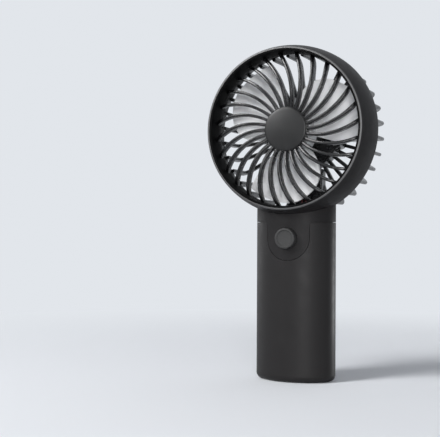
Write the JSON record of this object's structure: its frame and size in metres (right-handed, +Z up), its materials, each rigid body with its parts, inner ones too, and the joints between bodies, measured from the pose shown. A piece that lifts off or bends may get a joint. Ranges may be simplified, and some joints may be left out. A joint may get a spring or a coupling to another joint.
{
  "type": "handheld fan",
  "caption": "Battery handheld fan: round caged head with curved front ribs, broad pale blades and a bent-rib rear guard, on an oval handle with a round push button.",
  "frame": {"origin": "middle of the handle's flat base", "axes": "+Z up the handle, -Y the way the fan blows (its front), +X to the right seen from the front"},
  "size_m": [0.1078, 0.0538, 0.2113],
  "materials": {
    "shell_black": "fine-grained matte black moulded ABS",
    "guard_black": "matte black moulded ABS, slightly smoother than the shell",
    "cap_grey": "satin dark grey disc",
    "button_grey": "dark grey soft-touch plastic",
    "blade_grey": "pale grey moulded plastic",
    "frame_grey": "natural grey moulded plastic, hidden",
    "motor_steel": "drawn, nickel-plated steel",
    "shaft_steel": "ground steel",
    "core_iron": "stacked core sheet",
    "magnet": "sintered ferrite",
    "copper": "enamelled copper wire",
    "commutator_copper": "turned copper",
    "brush_carbon": "pressed carbon",
    "bronze": "sintered bronze",
    "end_cap_black": "moulded nylon",
    "screw_steel": "zinc-plated steel",
    "board_green": "lacquered circuit board",
    "switch_black": "moulded switch body",
    "socket_steel": "drawn plated shell",
    "cell_wrap": null,
    "tab_nickel": "nickel strip",
    "lead_rubber": "insulated wire",
    "pad_rubber": "soft black rubber"
  },
  "bodies": {
    "casing": {"head_housing": "shell_black", "handle_sleeve": "shell_black", "front_guard": "guard_black", "front_cap": "cap_grey", "rear_guard": "guard_black", "rear_cap": "guard_black", "motor_holder": "guard_black", "holder_screws": "screw_steel", "motor_can": "motor_steel", "motor_end_cap": "end_cap_black", "motor_magnets": "magnet", "motor_brushes": "brush_carbon", "front_bushing": "bronze", "rear_bushing": "bronze", "tact_switch": "switch_black", "control_board": "board_green", "board_screws": "screw_steel", "inner_frame": "frame_grey", "frame_screws": "screw_steel", "base_screws": "screw_steel", "foot_pads": "pad_rubber", "battery_cell_left": "cell_wrap", "battery_cell_right": "cell_wrap", "cell_tabs": "tab_nickel", "charge_board": "board_green", "charge_screws": "screw_steel", "usb_socket": "socket_steel", "motor_leads": "lead_rubber", "battery_leads": "lead_rubber"},
    "rotor": {"impeller": "blade_grey", "impeller_screw": "screw_steel", "motor_shaft": "shaft_steel", "motor_armature": "core_iron", "motor_windings": "copper", "commutator": "commutator_copper"},
    "button": {"power_button": "button_grey", "switch_plunger": "switch_black"}
  },
  "joints": [
    {"name": "impeller_spin", "type": "hinge", "parent": "casing", "child": "rotor", "pos_m": [0, 0, 0.1574], "axis": [0, -1, 0], "continuous": true},
    {"name": "button_press", "type": "slide", "parent": "casing", "child": "button", "axis": [0, 1, 0], "range_m": [0, 0.0008], "stiffness_N_per_m": 1500, "springref_m": -0.0004}
  ]
}
